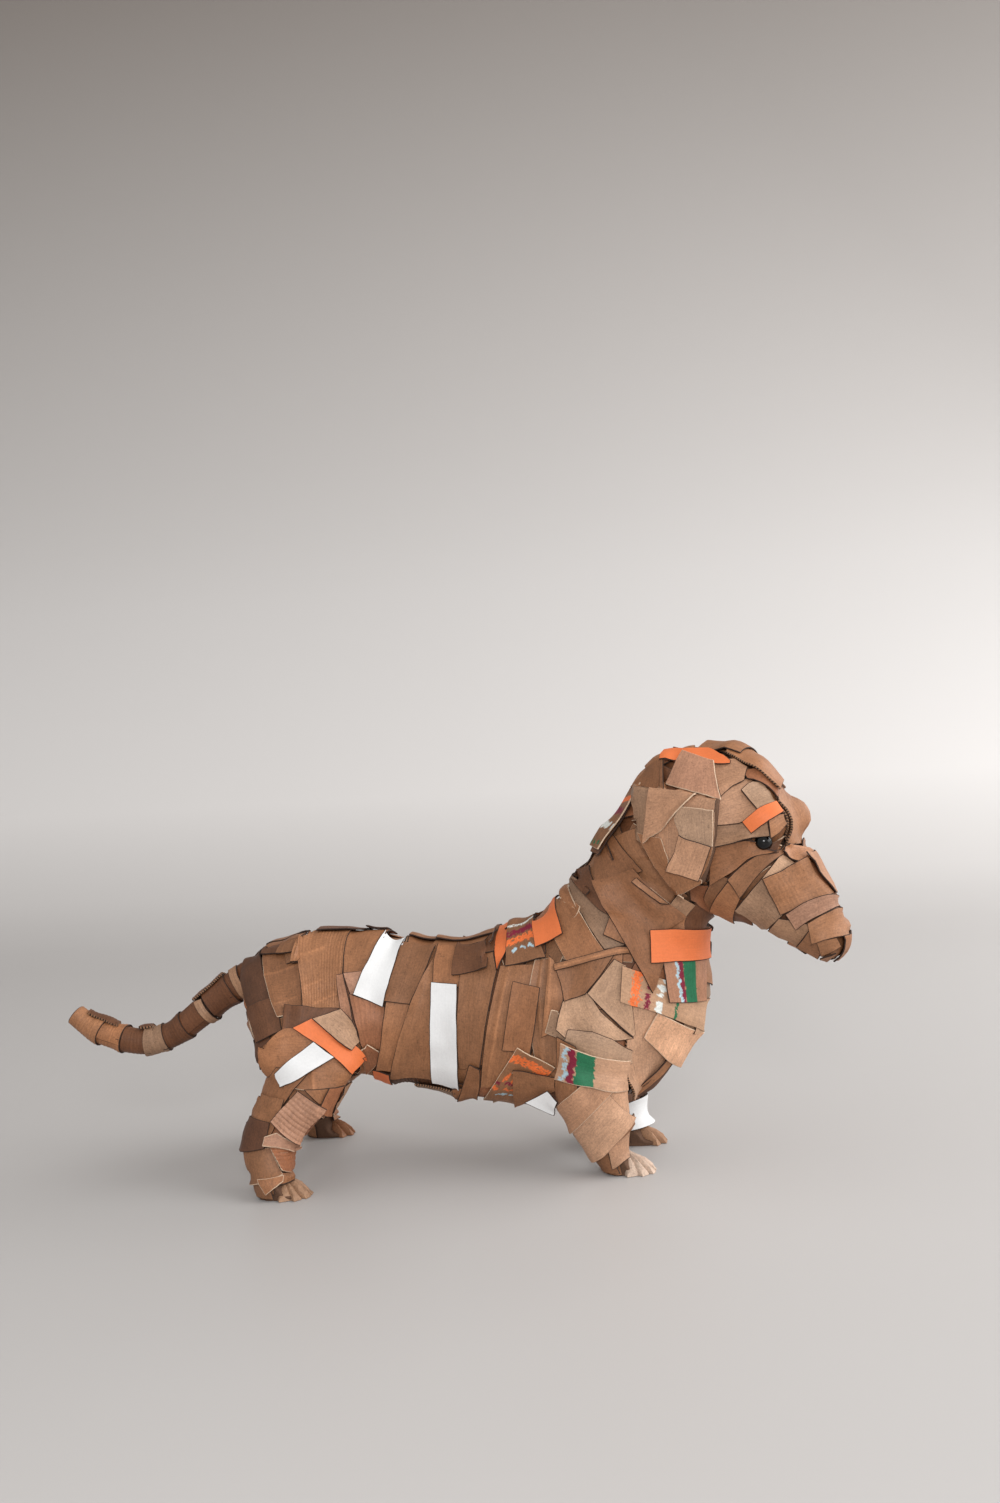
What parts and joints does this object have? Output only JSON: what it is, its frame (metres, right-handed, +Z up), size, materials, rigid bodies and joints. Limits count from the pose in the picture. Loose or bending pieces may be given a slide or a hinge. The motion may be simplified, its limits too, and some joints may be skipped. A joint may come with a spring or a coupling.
{
  "type": "cardboard dachshund sculpture",
  "caption": "Standing dachshund built of overlapping glued strips of kraft cardboard, some painted, head turned to its right, bead eyes.",
  "frame": {"origin": "on the surface that it stands on, under the middle of the whole figure's box", "axes": "+X towards the dog's nose, +Y to the dog's left, +Z up"},
  "size_m": [0.6556, 0.2066, 0.335],
  "materials": {
    "kraft_cardboard": "matte kraft board with cut edges",
    "orange_cardboard": "orange paint on board, eggshell",
    "white_cardboard": "white faced board, eggshell",
    "printed_cardboard": "kraft board with daubs of paint",
    "black_bead": "gloss black"
  },
  "bodies": {
    "root": {"dog_body": "kraft_cardboard", "right_ear": "kraft_cardboard", "left_ear": "kraft_cardboard", "right_eye": "black_bead", "left_eye": "black_bead", "orange_thigh_band": "orange_cardboard", "orange_belly_strip": "orange_cardboard", "orange_withers_strip": "orange_cardboard", "orange_saddle_band": "orange_cardboard", "orange_collar_strip": "orange_cardboard", "orange_brow_strip": "orange_cardboard", "orange_crown_strip": "orange_cardboard", "white_thigh_patch": "white_cardboard", "white_loin_band": "white_cardboard", "white_flank_band": "white_cardboard", "white_elbow_strip": "white_cardboard", "white_cuff": "white_cardboard", "printed_withers_strip": "printed_cardboard", "printed_elbow_strip": "printed_cardboard", "printed_arm_band": "printed_cardboard", "printed_chest_strip": "printed_cardboard", "printed_neck_strip": "printed_cardboard"}
  },
  "joints": []
}
